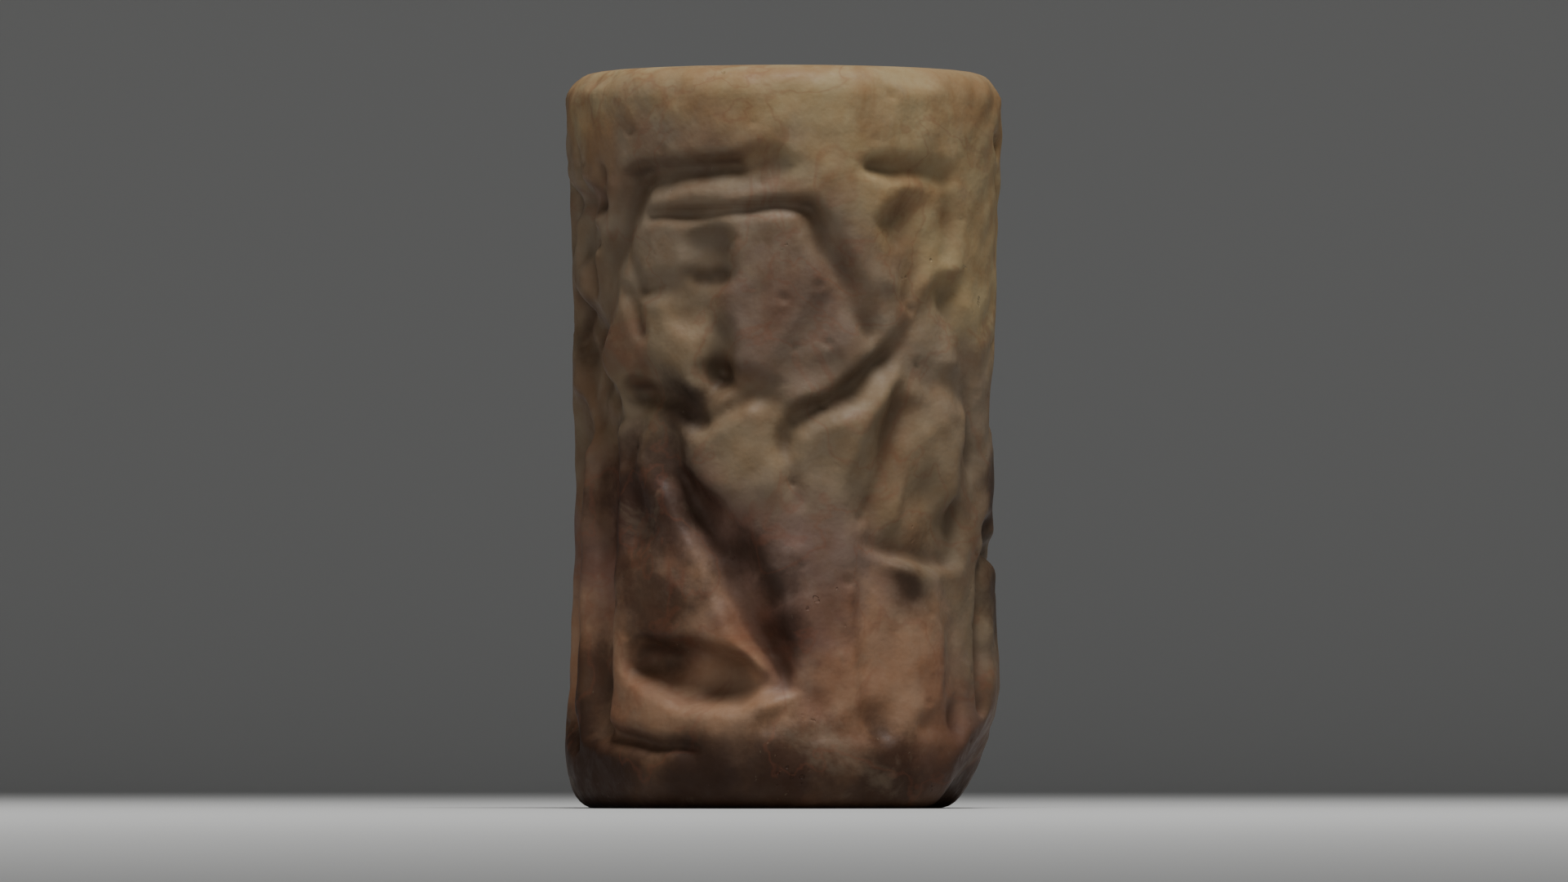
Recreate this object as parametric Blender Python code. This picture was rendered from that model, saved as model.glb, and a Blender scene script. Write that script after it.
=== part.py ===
"""A stone cylinder seal: a drilled barrel of soft stone with a frieze cut into its side.

One solid, standing on its flat end. The frieze is cut in reverse, so that it reads the
right way round when the seal is rolled over clay.
"""

import math

import bpy
import numpy as np

for old in list(bpy.data.objects):
    bpy.data.objects.remove(old, do_unlink=True)

MM = 0.001

# Barrel, a little narrower at its waist than at its rims
SEAL_HEIGHT = 27.4 * MM
RIM_RADIUS = 8.2 * MM
WAIST_RADIUS = 7.93 * MM
RIM_WIDTH = 2.4 * MM
SWELL = 0.05 * MM

# Rounded edges, worn further up the side than over the end at the base
TOP_ROUNDING = 1.15 * MM
BASE_ROUNDING = 1.1 * MM
BASE_ROUNDING_HEIGHT = 1.9 * MM

# Bore, drilled from both ends, so that it narrows towards its middle
MOUTH_RADIUS = 2.0 * MM
MOUTH_BEVEL = 0.3 * MM
BORE_RADIUS = 1.7 * MM

# Chips: a large one out of the base's edge and slight ones along both edges. Their own edges
# are worn round, by a share of their depth
LARGE_CHIP_SIZE = 11 * MM
LARGE_CHIP_DEPTH = 1.85 * MM
SMALL_CHIP_SIZE = 6.5 * MM
SMALL_CHIP_DEPTH = 0.28 * MM
CHIP_INSET = 0.3 * MM
CHIP_WEAR = 0.7

# Where the chips lie, as degrees of turn and of lean from the side towards an end
LARGE_CHIP = (-84, -34)
LOW_CHIPS = ((31, -38), (176, -40))
HIGH_CHIPS = ((-38, 42), (262, 38))

# How finely the stone is worked out
COLUMNS = 288
SIDE_ROWS = 150
ROUNDING_STEPS = 8
FLAT_STEPS = 9
BORE_STEPS = 9
TRIANGLES = 9400
WEAR = 0.17 * MM
LEVELLED = 0.02 * MM

# Stone
STONE_COLOUR = (0.2, 0.14, 0.09, 1)
STONE_ROUGHNESS = 0.6

# Frieze. Depths are shares of the cut's depth, places hundredths of a figure's height
ROLL_RADIUS = 7.77 * MM
FIGURE_HEIGHT = 23.2 * MM
GROUND_HEIGHT = 2.1 * MM
CUT_DEPTH = 0.95 * MM
UNSTEADY = 0.28
UNEVEN = 0.12
SHALLOW = 0.3
DEEP_LIMB = {"depth": 1.1, "over": 0.0, "belly": 0.0}


def ramp(share):
    """Rises smoothly from 0 to 1."""
    share = np.clip(share, 0, 1)
    return share * share * (3 - 2 * share)


def waves(turn, height, count, finest, seed):
    """Uneven swell from -1 to 1 that closes on itself round the seal."""
    chance = np.random.default_rng(seed)
    total = np.zeros_like(turn)
    for _ in range(count):
        around = int(chance.integers(1, finest))
        upward = chance.uniform(-finest, finest) / ROLL_RADIUS
        total += np.sin(around * turn + upward * height + chance.uniform(0, 2 * math.pi))
    return total / math.sqrt(count)


def soften(depth, passes):
    """Wears edges down. The first axis is the height and the second goes round."""
    for _ in range(passes):
        around = np.roll(depth, 1, axis=1) + np.roll(depth, -1, axis=1)
        padded = np.pad(depth, ((1, 1), (0, 0)), mode="edge")
        depth = (depth * 2 + around + padded[:-2] + padded[2:]) / 6
    return depth


class Figure:
    """Cuts one figure. Places are hundredths of its height, from its axis and its ground line."""

    def __init__(self, turn, height, cut, at, breadth):
        unit = FIGURE_HEIGHT / 100
        away = (turn - math.radians(at) + math.pi) % (2 * math.pi) - math.pi
        self.x = away * ROLL_RADIUS / unit + UNSTEADY * waves(turn, height, 16, 26, 5)
        self.y = (height - GROUND_HEIGHT) / unit + UNSTEADY * waves(turn, height, 16, 26, 6)
        self.cut = cut
        self.breadth = breadth

    def press(self, shape, depth, over):
        """Cuts a shape to its depth, and deeper by over where the stone is cut already."""
        deeper = over * shape * np.clip(self.cut / SHALLOW, 0, 1)
        self.cut[:] = np.maximum(self.cut, shape * depth) + deeper

    def leave(self, start, end, half, height):
        """Leaves stone standing inside a cut."""
        shape = self.stroke(start, end, half, half, 0, 1, 0)
        self.cut[:] = np.maximum(self.cut - shape * height, 0)

    def stroke(self, start, end, half, half_end, belly, steep, lean):
        """A gouge from start to end: 1 along its floor, 0 from its edge outwards.

        Lean widens the side to the left of the way it runs and steepens the other side.
        """
        (x0, y0), (x1, y1) = start, end
        dx, dy = x1 - x0, y1 - y0
        away_x, away_y = self.x - x0, self.y - y0
        share = np.clip((away_x * dx + away_y * dy) / (dx * dx + dy * dy), 0, 1)
        off = np.hypot(away_x - share * dx, away_y - share * dy)
        width = half + (half_end - half) * share + belly * half * np.sin(share * math.pi)
        width = width * self.breadth
        if lean:
            width = width * (1 + lean * np.sign(dx * away_y - dy * away_x))
        return np.maximum(1 - (off / width) ** 2, 0) ** steep

    def path(
        self, points, half, half_end=None, depth=0.55, over=0.15, belly=0.15, steep=1.0, lean=0
    ):
        """A limb or a stick, bent at each of the points between its ends."""
        half_end = half if half_end is None else half_end
        widths = np.linspace(half, half_end, len(points))
        shape = np.zeros_like(self.x)
        for i in range(len(points) - 1):
            one = self.stroke(
                points[i], points[i + 1], widths[i], widths[i + 1], belly, steep, lean
            )
            shape = np.maximum(shape, one)
        self.press(shape, depth, over)

    def oval(self, x, y, half_width, half_height, depth=0.6, over=0.1, steep=0.8):
        share = np.hypot((self.x - x) / half_width, (self.y - y) / half_height)
        self.press(np.maximum(1 - share * share, 0) ** steep, depth, over)

    def cloth(
        self, top, bottom, half_top, half_bottom, depth, depth_end, side=3.0, hem=1.4, slant=0
    ):
        """A garment hanging from top to bottom, cut deeper towards its hem, which may slant."""
        (x0, y0), (x1, y1) = top, bottom
        length = math.hypot(x1 - x0, y1 - y0)
        ux, uy = (x1 - x0) / length, (y1 - y0) / length
        sideways = (self.x - x0) * uy - (self.y - y0) * ux
        down = (self.x - x0) * ux + (self.y - y0) * uy + slant * sideways
        off = np.abs(sideways)
        share = np.clip(down / length, 0, 1)
        half = half_top + (half_bottom - half_top) * share
        shape = ramp((half - off) / side) * ramp((length - down) / hem) * ramp(down / 4 + 0.5)
        swell = 1 - 0.25 * np.minimum(off / half, 1) ** 2
        self.press(shape * swell, depth + (depth_end - depth) * share, 0)

    def folds(self, starts, ends, half, rise):
        """Fine folds inside a garment, sunk in the impression where rise is negative."""
        for start, end in zip(starts, ends):
            fold = self.stroke(start, end, half, half, 0, 1, 0)
            self.cut += fold * rise * np.clip(self.cut / SHALLOW, 0, 1)


def horned_crown(f, left, right, left_tip, right_tip, middle, spike):
    """A god's crown: a band turned up into a horn at each end, with a spike in its middle."""
    f.path([middle, spike], 2.0, 1.2, depth=0.42)
    f.path([left, left_tip], 1.9, 1.1, depth=0.42)
    f.path([right, right_tip], 1.9, 1.1, depth=0.42)
    f.path([left, right], 2.4, depth=0.56, belly=0.1)


def mace_bearer(f):
    """The bearded man in a flat cap and a kilt, who seizes the kneeling god."""
    f.path([(-8.0, 28), (-8.6, 17), (-8.2, 5.0)], 4.2, 3.4, depth=0.42)
    f.path([(7.8, 28), (7.2, 17), (7.6, 4.5)], 4.4, 3.8, depth=0.46, steep=0.6)
    f.path([(-8.0, 5.6), (-0.6, 4.2)], 3.2, 2.4, depth=0.26)
    f.path([(10.9, 34.0), (11.2, 24.0), (10.8, 13.0)], 1.5, 1.1, depth=0.28, over=0.16)
    f.path([(4.2, 27.4), (1.6, 24.4)], 2.2, 1.4, depth=0.3, over=0.1)
    f.path([(8.6, 4.6), (18.6, 3.0)], 3.4, 2.4, depth=0.18)
    f.cloth((-0.6, 74), (-2.0, 52), 10.2, 6.6, 0.32, 0.5, side=5.0)
    f.cloth((-0.4, 58), (0.0, 28.6), 5.6, 12.8, 0.46, 0.95, side=3.4, hem=2.8, slant=-0.11)
    f.path([(1.6, 54.5), (8.0, 39.5)], 4.6, 5.6, depth=0.72, over=0.2, lean=0.2)
    f.path([(-9.8, 38.0), (-10.2, 31.6)], 3.0, depth=0.62)
    f.leave((-3.4, 50.5), (-8.0, 38.5), 1.9, 0.22)
    f.leave((0.5, 49.0), (3.0, 37.0), 1.4, 0.1)
    f.oval(-0.4, 82.0, 9.4, 9.6, 0.42, 0.0, 0.9)
    f.oval(2.8, 83.4, 5.6, 6.4, 0.56, 0.1)
    f.oval(6.4, 83.8, 2.4, 2.4, 0.42, 0.06)
    f.leave((4.6, 87.4), (5.4, 86.8), 1.0, 0.22)
    f.path([(-5.6, 88.0), (-6.0, 79.0)], 2.6, 2.2, depth=0.42, over=0.0)
    f.path([(0.6, 80.4), (1.6, 72.0)], 3.8, 2.8, depth=0.52, over=0.08)
    f.path([(9.6, 92.6), (2.8, 92.6), (-5.0, 91.0)], 2.2, 3.2, depth=0.48, over=0.05, steep=1.7)
    f.path([(-7.0, 71.5), (-11.6, 63.0), (-14.2, 54.5), (-15.4, 46.0)], 3.6, 2.6, depth=0.44)
    f.path([(-13.0, 56.5), (-6.0, 59.0), (1.0, 60.0)], 3.2, 2.8, depth=0.4)
    f.path([(19.8, 86.6), (14.0, 76.4)], 1.9, 3.7, depth=0.52, over=0.05, steep=1.4, lean=0.1)
    f.path([(14.0, 76.4), (8.6, 66.6)], 3.7, 3.3, depth=0.5, over=0.0, steep=1.6, lean=0.1)
    f.leave((17.6, 67.8), (14.6, 63.6), 3.6, 0.16)
    f.path([(46.6, 85.2), (34.0, 85.8), (19.8, 86.9)], 1.1, 1.4, depth=0.44, belly=0.0, lean=0.2)
    f.path([(-6.2, 73.6), (4.7, 63.8)], 4.6, 3.8, depth=0.5, over=0.08, belly=0.0, lean=-0.2)
    f.path(
        [(5.4, 63.4), (10.5, 59.6), (15.8, 56.1), (22.0, 53.0)],
        4.0, 3.2, depth=0.74, over=0.05, belly=0.0, steep=1.35, lean=-0.4,
    )


def kneeling_god(f):
    """The god who is beaten down: one knee on the ground, one arm raised."""
    f.path([(-20.4, 46.0), (-21.0, 30.0), (-20.0, 8.5)], 5.6, 4.6, depth=0.3, steep=0.8)
    f.path([(-19.0, 7.6), (-12.6, 4.6)], 3.2, 2.4, depth=0.22)
    f.path([(-3.0, 37.0), (-16.0, 36.0)], 4.2, 5.0, depth=0.3)
    f.path([(8.6, 57.0), (7.0, 50.0), (5.6, 45.0)], 6.2, 3.6, depth=0.62, belly=0.05)
    f.path([(13.6, 42.4), (11.4, 35.0)], 3.2, 4.2, depth=0.42, over=0.0, steep=1.4)
    f.path([(4.6, 42.6), (1.0, 37.7), (-3.7, 31.5)], 2.9, 5.1, **DEEP_LIMB, lean=-0.35)
    f.path([(-3.7, 31.5), (-8.4, 21.2)], 5.1, 4.9, **DEEP_LIMB, lean=-0.35)
    f.path([(-8.4, 21.2), (-13.8, 12.6)], 4.9, 2.8, **DEEP_LIMB, lean=-0.3)
    f.path([(9.9, 14.4), (1.2, 12.2)], 4.0, 6.2, **DEEP_LIMB, steep=0.75)
    f.path([(1.2, 12.2), (-6.5, 10.8)], 6.2, 4.8, **DEEP_LIMB, steep=0.75)
    f.path([(-6.5, 10.8), (-15.8, 10.4)], 4.8, 1.6, depth=0.7, over=0.0, belly=0.0)
    f.path([(13.4, 56.8), (5.6, 56.4), (0.2, 52.6)], 3.0, 2.8, depth=0.84, over=0.0, steep=0.9)
    f.path([(0.2, 52.4), (-2.6, 58.4)], 1.7, 2.6, depth=0.66, over=0.0)
    f.path([(-0.2, 52.0), (-3.9, 53.6), (-7.4, 56.4)], 1.7, 2.0, depth=0.5, over=0.0)
    f.oval(-3.0, 59.8, 4.0, 4.0, 1.0, 0.06)
    f.path([(12.2, 56.0), (14.4, 46.6)], 3.2, 2.6, depth=0.5)
    f.path([(-3.0, 58.4), (-7.8, 58.8), (-12.8, 55.4), (-14.6, 48.7)], 3.1, 2.8, depth=0.5, steep=1.3)
    f.path([(-14.6, 48.7), (-16.3, 39.7)], 2.8, 2.4, depth=0.4, steep=1.3)
    f.path([(-14.0, 58.4), (-20.2, 70.6)], 3.9, 3.0, depth=0.3, lean=0.2)
    f.oval(-20.0, 60.6, 4.4, 4.2, 0.34)
    f.oval(0.0, 70.2, 5.4, 5.0, 0.58)
    f.path([(-3.6, 67.0), (-3.0, 61.0)], 3.4, 3.0, depth=0.6)
    f.path([(13.8, 73.6), (10.8, 67.0)], 1.5, 1.3, depth=0.36)
    f.path([(0.6, 74.2), (11.0, 73.2)], 2.3, 2.0, depth=0.3)
    f.path([(11.0, 73.6), (12.4, 77.4)], 1.9, 1.2, depth=0.3)
    f.path([(-2.3, 76.8), (-2.2, 79.8)], 4.4, 4.2, depth=0.6, belly=0.0, steep=0.5)
    f.path([(-3.6, 75.2), (0.6, 75.0)], 2.2, 2.2, depth=0.74, over=0.05, lean=0.2)


def smiting_god(f):
    """The standing god who swings his arm above the kneeling one."""
    f.path([(5.8, 52), (6.2, 30), (5.4, 5.5)], 4.6, 3.2, depth=0.55, steep=0.7)
    f.oval(7.2, 50.0, 6.0, 8.8, 0.74, 0.05, 0.9)
    f.oval(6.8, 26.6, 4.6, 6.4, 0.66, 0.08, 0.9)
    f.oval(6.2, 11.5, 4.0, 6.2, 0.6, 0.08, 0.9)
    f.path([(-4.2, 52), (-4.8, 28), (-5.6, 5.0)], 4.6, 3.2, depth=0.78, over=0.05, steep=0.55)
    f.leave((1.6, 47.5), (2.0, 7.0), 1.6, 0.42)
    f.path([(-5.8, 3.4), (-17.0, 2.0), (-27.0, 0.6)], 1.5, 1.0, depth=0.5, lean=0.2)
    f.path([(6.0, 4.4), (1.0, 1.6)], 2.4, 1.6, depth=0.45)
    f.cloth((3.4, 71.5), (-1.2, 51), 8.0, 5.2, 0.62, 0.7, side=3.2)
    f.path([(-2.4, 66.4), (9.6, 71.6)], 3.2, 3.0, depth=0.82, over=0.08)
    f.path([(9.4, 69.0), (2.0, 62.6), (-7.4, 57.0)], 3.4, 2.3, depth=0.78, over=0.1)
    f.path([(-8.4, 55.8), (-10.4, 53.2)], 2.2, 1.5, depth=0.5)
    f.path([(-2.2, 66.0), (-15.4, 90.4)], 3.4, 2.9, depth=0.64, steep=1.2, lean=0.3)
    f.path([(-15.6, 92.2), (-33.6, 93.0)], 2.5, 2.5, depth=0.64, belly=0.1, steep=1.4, lean=0.3)
    f.path([(-34.0, 92.4), (-40.6, 93.4)], 2.9, 2.7, depth=0.36, over=0.0, lean=0.2)
    f.oval(0.2, 82.6, 4.8, 5.8, 0.6)
    f.path([(-3.8, 82.0), (-5.4, 81.0)], 1.6, 1.0, depth=0.45)
    f.oval(8.8, 83.6, 3.2, 4.2, 0.55)
    f.path([(-1.4, 79.4), (-2.2, 73.8)], 2.6, 1.6, depth=0.56)
    horned_crown(f, (-6.4, 88.0), (8.0, 88.0), (-7.4, 93.0), (10.2, 92.8), (1.0, 88.6), (1.2, 95.4))


def attendant(f):
    """The robed figure who stands before the throne, a cup and a sprig in the raised hand."""
    f.path([(-6.4, 13.5), (-7.6, 3.0)], 2.1, depth=0.48)
    f.path([(4.0, 13.5), (6.2, 3.0)], 2.2, depth=0.48)
    f.path([(-7.4, 2.4), (-2.4, 0.8)], 1.9, 1.3, depth=0.42)
    f.path([(1.6, 0.2), (13.6, 1.0)], 2.1, 1.5, depth=0.52)
    f.cloth((0.6, 73.0), (0.4, 55), 7.2, 5.6, 0.6, 0.76)
    f.cloth((0.6, 58), (-0.4, 14.2), 6.2, 10.6, 0.74, 0.92, side=3.6, hem=1.3)
    f.path([(-12.2, 15.2), (-1.0, 14.2), (10.2, 15.4)], 2.1, depth=0.62, over=0.12)
    f.folds([(8.6, 50.0), (1.4, 54.0), (-3.6, 50.0)], [(10.0, 17.5), (4.6, 24.0), (-6.0, 20.0)], 1.6, 0.1)
    f.path([(-11.0, 52.8), (-5.2, 48.6)], 1.7, 1.2, depth=0.46)
    f.path([(7.2, 72.0), (15.0, 57.0)], 3.2, 2.5, depth=0.78, steep=0.7)
    f.path([(15.4, 56.8), (20.2, 70.6)], 1.7, 1.2, depth=0.42)
    f.oval(19.6, 74.4, 2.2, 2.2, 0.42)
    f.path([(20.4, 75.8), (23.2, 80.4)], 1.0, 0.7, depth=0.3)
    f.path([(19.4, 76.4), (18.8, 81.0)], 1.0, 0.7, depth=0.3)
    f.path([(-5.8, 71.8), (-8.6, 60.8), (1.8, 62.4)], 3.0, 2.3, depth=0.8, steep=0.7)
    f.leave((-0.8, 66.8), (2.4, 65.2), 2.3, 0.6)
    f.oval(-0.4, 82.4, 4.6, 5.8, 0.6)
    f.path([(-4.4, 80.6), (-8.0, 80.4), (-11.0, 84.0)], 2.2, 1.5, depth=0.55)
    f.path([(3.4, 80.8), (5.8, 81.4), (7.4, 85.0)], 2.0, 1.4, depth=0.5)
    f.path([(0.0, 80.0), (0.2, 73.4)], 2.8, 1.7, depth=0.56)
    horned_crown(f, (-7.0, 88.2), (7.8, 88.2), (-8.0, 95.0), (9.2, 96.0), (0.6, 88.8), (0.6, 96.4))


def throne(f):
    """The seated god's stool: a sagging seat on slender legs, with a broad post behind."""
    f.path([(27.0, 46.0), (27.8, 28.0), (28.2, 9.0)], 4.2, 4.6, depth=0.32, steep=0.8)
    f.path([(16.6, 35.8), (22.0, 29.6), (23.8, 19.0), (24.6, 7.0)], 2.1, 1.8, depth=0.48)
    f.path([(-17.8, 25.6), (-15.4, 12.0), (-13.0, 2.0)], 2.0, 1.7, depth=0.48)
    f.path([(-0.8, 20.4), (-0.4, 8.2)], 1.7, depth=0.34)
    f.path([(4.6, 24.4), (6.0, 15.0), (7.4, 8.0)], 1.9, 1.6, depth=0.44)
    seat = [(-21.4, 28.0), (-13.0, 25.8), (-5.0, 25.2), (5.0, 27.2), (19.6, 35.0)]
    f.path(seat, 2.6, 2.2, depth=0.7, steep=0.7, belly=0.0)


def seated_god(f):
    """The enthroned god in a flounced robe, who holds a long weapon before him."""
    throne(f)
    f.path([(-42.8, 11.0), (-42.4, 3.6)], 2.2, depth=0.5)
    f.path([(-30.8, 11.0), (-30.5, 2.4)], 2.2, depth=0.5)
    f.path([(-41.8, 1.6), (-51.6, -1.6)], 2.2, 1.5, depth=0.5)
    f.path([(-29.0, 0.8), (-37.6, -2.2)], 2.2, 1.5, depth=0.5)
    f.cloth((-35.6, 40.0), (-36.6, 12.2), 8.4, 11.2, 0.78, 0.96, side=2.6, hem=1.3)
    f.path([(-46.6, 12.8), (-26.0, 12.8)], 2.1, depth=0.7, over=0.1)
    f.path([(3.0, 41.5), (-14.0, 42.0), (-34.0, 41.6)], 8.6, 7.6, depth=1.0, over=0.0, belly=0.0, steep=0.55)
    f.oval(-36.4, 39.0, 7.6, 8.0, 0.92, 0.0, 0.55)
    f.cloth((-0.8, 72.5), (0.4, 40.0), 6.4, 10.0, 0.84, 0.92, side=3.4, hem=4.0)
    f.path([(4.2, 69.2), (14.0, 54.2)], 5.0, 4.0, depth=1.0, over=0.05, steep=0.7)
    f.path([(-3.6, 68.2), (-14.0, 61.0), (-22.6, 57.0)], 3.6, 2.5, depth=0.78, steep=0.7)
    f.path([(-48.8, 96.4), (-36.6, 80.8), (-30.6, 76.4), (-22.9, 56.6)], 1.5, 1.8, depth=0.52, belly=0.0)
    f.oval(-2.0, 81.4, 4.8, 5.8, 0.62)
    f.path([(-5.8, 83.8), (-0.6, 83.8)], 1.0, depth=0.5)
    f.path([(-5.8, 80.8), (-0.6, 80.6)], 1.0, depth=0.5)
    f.oval(7.6, 81.4, 3.0, 4.6, 0.56)
    f.path([(-2.6, 78.0), (-1.4, 71.6)], 2.8, 2.0, depth=0.6)
    horned_crown(f, (-8.6, 86.8), (7.6, 87.0), (-9.4, 94.2), (8.8, 94.6), (-0.2, 87.4), (-0.2, 99.4))
    for i in range(7):
        f.folds([(-36.0 + 4.6 * i, 41.6)], [(-32.6 + 4.6 * i, 48.8)], 1.3, 0.14)
    for i in range(13):
        f.folds([(-34.0 + 3.0 * i, 37.6)], [(-33.6 + 3.0 * i, 32.8)], 0.9, -0.12)
    f.folds([(-36.0, 39.4)], [(6.0, 39.6)], 0.9, -0.14)
    for i in range(7):
        f.folds([(-44.2 + 2.9 * i, 26.4)], [(-45.4 + 3.1 * i, 15.0)], 0.9, -0.13)
    f.folds([(-45.0, 28.4)], [(-28.6, 28.8)], 0.8, -0.16)
    for i in range(4):
        f.folds([(2.4 + 2.2 * i, 68.6 - 0.8 * i)], [(9.4 + 2.4 * i, 54.6 + 0.9 * i)], 0.9, -0.12)
    for i in range(4):
        f.folds([(-7.0 + 4.2 * i, 54.0)], [(-7.6 + 4.6 * i, 44.0)], 1.1, -0.12)


def staff(f):
    """The thin staff with a flower at its top, behind the throne."""
    f.path([(0.6, 93.0), (-3.6, 80.0), (-7.3, 66.8)], 0.9, 0.7, depth=0.26)
    f.oval(0.8, 96.6, 2.6, 1.8, 0.36)
    f.path([(-1.6, 97.6), (3.6, 98.2)], 1.0, depth=0.3)


def star(f):
    """The star before the enthroned god's face."""
    f.oval(0.0, 95.2, 1.7, 1.8, 0.45)
    f.path([(-2.8, 95.4), (2.8, 95.2)], 1.0, depth=0.38)
    f.path([(0.4, 98.2), (-0.6, 92.0), (-2.2, 86.0)], 1.0, 0.6, depth=0.28)


def frieze_depth(turn, height):
    """Depth cut at each place. Turn runs the way the frieze rolls out and is 0 at the front."""
    cut = np.zeros_like(turn)
    for figure, at, breadth in (
        (seated_god, 248.2, 1.2),
        (attendant, 126.2, 1.2),
        (smiting_god, 70.8, 1.2),
        (mace_bearer, -40.2, 1.0),
        (kneeling_god, 24.3, 1.0),
        (staff, 278.1, 1.2),
        (star, 201.1, 1.2),
    ):
        figure(Figure(turn, height, cut, at, breadth))
    worn = 1 + UNEVEN * waves(turn, height, 14, 20, 7)
    return cut * worn * CUT_DEPTH


def barrel_radius(turn, height):
    """Radius of the side before it is cut, with the slight swells of hand-worked stone."""
    reach = SEAL_HEIGHT / 2 - RIM_WIDTH
    share = np.minimum(np.abs(height - SEAL_HEIGHT / 2) / reach, 1)
    radius = WAIST_RADIUS + (RIM_RADIUS - WAIST_RADIUS) * share ** 2
    return radius - SWELL * (1 - share ** 2) * (1 + waves(turn, height, 9, 7, 8))


def side_outline():
    """Distance in from the rim's radius, and height, from the base's flat to the top's flat."""
    steps = np.linspace(0, math.pi / 2, ROUNDING_STEPS)
    low_inset = BASE_ROUNDING * (1 - np.sin(steps))
    low_height = BASE_ROUNDING_HEIGHT * (1 - np.cos(steps))
    high_inset = TOP_ROUNDING * (1 - np.cos(steps))
    high_height = SEAL_HEIGHT - TOP_ROUNDING * (1 - np.sin(steps))
    middle = np.linspace(BASE_ROUNDING_HEIGHT, SEAL_HEIGHT - TOP_ROUNDING, SIDE_ROWS)[1:-1]
    inset = np.concatenate([low_inset, np.zeros_like(middle), high_inset])
    height = np.concatenate([low_height, middle, high_height])
    return inset, height


def bore_outline():
    """Radius and height from the flat of the top, down the bore and out over the base."""
    mouth = MOUTH_RADIUS + MOUTH_BEVEL
    top_flat = np.linspace(RIM_RADIUS - TOP_ROUNDING, mouth, FLAT_STEPS + 1)[1:]
    base_flat = np.linspace(mouth, RIM_RADIUS - BASE_ROUNDING, FLAT_STEPS + 1)[:-1]
    heights = np.linspace(SEAL_HEIGHT - MOUTH_BEVEL, MOUTH_BEVEL, BORE_STEPS)
    share = np.abs(heights / SEAL_HEIGHT * 2 - 1)
    bore = BORE_RADIUS + (MOUTH_RADIUS - BORE_RADIUS) * share ** 2
    radius = np.concatenate([top_flat, bore, base_flat])
    height = np.concatenate([np.full(FLAT_STEPS, SEAL_HEIGHT), heights, np.zeros(FLAT_STEPS)])
    return radius, height


def chip(points, at, height, lean, size, depth):
    """Flakes a hollow off an edge. Lean turns it from the side towards the top or the base."""
    at, lean = math.radians(at), math.radians(lean)
    side = np.array([-math.sin(at), -math.cos(at), 0.0])
    up = np.array([0.0, 0.0, 1.0])
    out = side * math.cos(lean) + up * math.sin(lean)
    edge = side * (RIM_RADIUS - CHIP_INSET) + up * height
    away = points - edge - out * (size - depth)
    level = away @ out
    spread = size ** 2 - ((away ** 2).sum(axis=-1) - level ** 2)
    above = level + np.sqrt(np.maximum(spread, 0))
    wear = CHIP_WEAR * depth
    share = np.where(spread > 0, np.clip(0.5 + above / (2 * wear), 0, 1), 0)
    drop = share * (above + wear * (1 - share))
    return points - drop[..., None] * out


def chipped(points):
    """The hollows that handling and wear have left on the edges."""
    low, high = CHIP_INSET, SEAL_HEIGHT - CHIP_INSET
    at, lean = LARGE_CHIP
    points = chip(points, at, low, lean, LARGE_CHIP_SIZE, LARGE_CHIP_DEPTH)
    for at, lean in LOW_CHIPS:
        points = chip(points, at, low, lean, SMALL_CHIP_SIZE, SMALL_CHIP_DEPTH)
    for at, lean in HIGH_CHIPS:
        points = chip(points, at, high, lean, SMALL_CHIP_SIZE, SMALL_CHIP_DEPTH)
    return points


def seal_surface():
    """Points of the whole skin: up the side, over the top, down the bore and over the base."""
    turns = np.arange(COLUMNS) / COLUMNS * 2 * math.pi
    inset, side_height = side_outline()
    turn, height = np.meshgrid(turns, side_height)
    cell = (SEAL_HEIGHT - TOP_ROUNDING - BASE_ROUNDING_HEIGHT) / SIDE_ROWS
    depth = soften(frieze_depth(turn, height), max(1, round(3 * (WEAR / cell) ** 2)))
    radius = barrel_radius(turn, height) - inset[:, None] - depth
    inner_radius, inner_height = bore_outline()
    inner_turn, inner_heights = np.meshgrid(turns, inner_height)
    radius = np.concatenate([radius, np.repeat(inner_radius[:, None], COLUMNS, axis=1)])
    height = np.concatenate([height, inner_heights])
    turn = np.concatenate([turn, inner_turn])
    points = np.stack([-radius * np.sin(turn), -radius * np.cos(turn), height], axis=-1)
    return chipped(points)


def seal_faces(rings):
    """Two triangles between each pair of neighbours, the last ring joined to the first."""
    faces = []
    for ring in range(rings):
        lower = ring * COLUMNS
        upper = (ring + 1) % rings * COLUMNS
        for column in range(COLUMNS):
            after = (column + 1) % COLUMNS
            faces.append((lower + column, upper + column, upper + after))
            faces.append((lower + column, upper + after, lower + after))
    return faces


def stone_material():
    stone = bpy.data.materials.new("veined_soft_stone")
    stone.use_nodes = True
    surface = stone.node_tree.nodes["Principled BSDF"]
    surface.inputs["Base Color"].default_value = STONE_COLOUR
    surface.inputs["Roughness"].default_value = STONE_ROUGHNESS
    surface.inputs["Metallic"].default_value = 0.0
    stone.diffuse_color = STONE_COLOUR
    return stone


def thin_out(seal):
    """Joins the small facets wherever the stone is plain, and keeps them where it is cut."""
    thinner = seal.modifiers.new("fewer_facets", "DECIMATE")
    thinner.ratio = TRIANGLES / len(seal.data.polygons)
    graph = bpy.context.evaluated_depsgraph_get()
    thinned = bpy.data.meshes.new_from_object(seal.evaluated_get(graph), depsgraph=graph)
    seal.modifiers.clear()
    old = seal.data
    seal.data = thinned
    bpy.data.meshes.remove(old)
    for vertex in seal.data.vertices:
        if vertex.co.z < LEVELLED:
            vertex.co.z = 0.0
        if vertex.co.z > SEAL_HEIGHT - LEVELLED:
            vertex.co.z = SEAL_HEIGHT


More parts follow.
